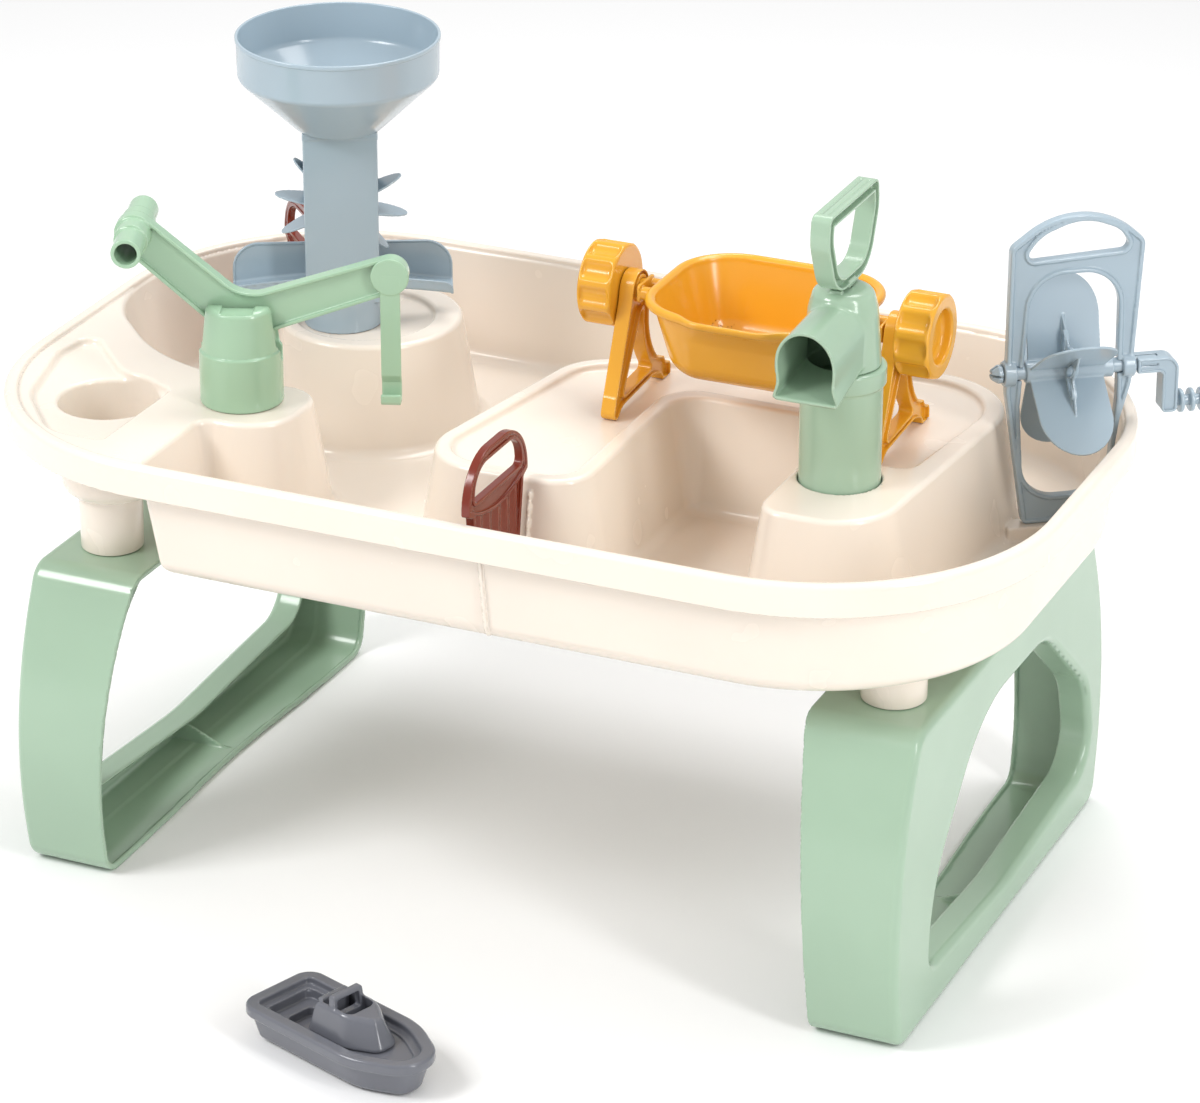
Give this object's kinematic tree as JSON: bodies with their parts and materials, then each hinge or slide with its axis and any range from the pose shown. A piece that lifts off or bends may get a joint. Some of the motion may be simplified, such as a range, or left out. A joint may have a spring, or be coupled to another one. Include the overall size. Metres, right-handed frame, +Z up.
{
  "type": "sand and water table",
  "caption": "Low play table with a moulded canal tray on two plug-in leg frames, with a mill tower, crane, hand pump, tipping bucket, paddle wheel, sluice gates and a toy boat.",
  "frame": {"origin": "on the floor under the middle of the whole box, boat and crank included; the middle of the tray is at x -0.0226, y 0.0838", "axes": "+X along the table towards the paddle wheel, +Y towards the back, +Z up"},
  "size_m": [0.8302, 0.6536, 0.5625],
  "materials": {
    "cream": "moulded polypropylene, soft gloss",
    "sage": "moulded polypropylene, gloss",
    "mint": "moulded polypropylene, satin gloss",
    "blue": "moulded polypropylene, gloss",
    "ochre": "moulded polypropylene, gloss",
    "terracotta": "moulded polypropylene, gloss",
    "grey": "moulded polypropylene, gloss",
    "rubber": "soft moulded rubber"
  },
  "bodies": {
    "table": {"tray": "cream", "leg_left": "sage", "leg_right": "sage", "bucket_stand_left": "ochre", "bucket_stand_right": "ochre"},
    "tower": {"tower_column": "blue", "mill_trough": "blue", "funnel": "blue"},
    "mill_wheel": {"mill_wheel": "blue"},
    "crane": {"crane_post": "mint"},
    "arm": {"crane_arm": "mint"},
    "hook": {"crane_hook": "mint"},
    "pump": {"pump_barrel": "sage", "pump_head": "sage", "inlet_valve": "rubber"},
    "pump_rod": {"pump_handle": "sage", "pump_piston": "grey", "piston_seal": "rubber"},
    "bucket": {"bucket": "ochre", "bucket_knob_left": "ochre", "bucket_knob_right": "ochre"},
    "wheel_frame": {"wheel_frame": "blue"},
    "paddle_wheel": {"paddle_wheel": "blue", "paddle_crank": "blue"},
    "gate_front": {"gate_front": "terracotta"},
    "gate_back": {"gate_back": "terracotta"},
    "boat": {"boat_hull": "grey", "boat_cabin": "grey"}
  },
  "joints": [
    {"name": "tower_turn", "type": "hinge", "parent": "table", "child": "tower", "pos_m": [-0.23824, 0.15879, 0.35], "axis": [0, 0, 1], "range_deg": [-45, 70]},
    {"name": "mill_wheel_spin", "type": "hinge", "parent": "tower", "child": "mill_wheel", "pos_m": [-0.23824, 0.15879, 0.432], "axis": [-0.454, 0.891, 0], "continuous": true},
    {"name": "crane_turn", "type": "hinge", "parent": "table", "child": "crane", "pos_m": [-0.23014, -0.01521, 0.36], "axis": [0, 0, 1], "continuous": true},
    {"name": "arm_rock", "type": "hinge", "parent": "crane", "child": "arm", "pos_m": [-0.23014, -0.01521, 0.404], "axis": [-0.3584, 0.9336, 0], "range_deg": [-14, 14]},
    {"name": "hook_swing", "type": "hinge", "parent": "arm", "child": "hook", "pos_m": [-0.13043, 0.02306, 0.4425], "axis": [-0.3584, 0.9336, 0], "range_deg": [-60, 35]},
    {"name": "pump_turn", "type": "hinge", "parent": "table", "child": "pump", "pos_m": [0.20586, 0.02979, 0.36], "axis": [0, 0, 1], "range_deg": [-40, 90]},
    {"name": "pump_stroke", "type": "slide", "parent": "pump", "child": "pump_rod", "axis": [0, 0, 1], "range_m": [0, 0.035]},
    {"name": "bucket_tilt", "type": "hinge", "parent": "table", "child": "bucket", "pos_m": [0.11686, 0.11079, 0.425], "axis": [1, 0, 0], "range_deg": [-30, 75]},
    {"name": "wheel_frame_lift", "type": "slide", "parent": "table", "child": "wheel_frame", "axis": [0, 0, 1], "range_m": [0, 0.08]},
    {"name": "paddle_spin", "type": "hinge", "parent": "wheel_frame", "child": "paddle_wheel", "pos_m": [0.31637, 0.18027, 0.387], "axis": [0.809, 0.5878, 0], "continuous": true},
    {"name": "gate_front_lift", "type": "slide", "parent": "table", "child": "gate_front", "axis": [0, 0, 1], "range_m": [0, 0.08]},
    {"name": "gate_back_lift", "type": "slide", "parent": "table", "child": "gate_back", "axis": [0, 0, 1], "range_m": [0, 0.08]},
    {"name": "boat_glide", "type": "slide", "parent": "table", "child": "boat", "axis": [0.9397, -0.342, 0], "range_m": [-0.05, 0.15]}
  ]
}
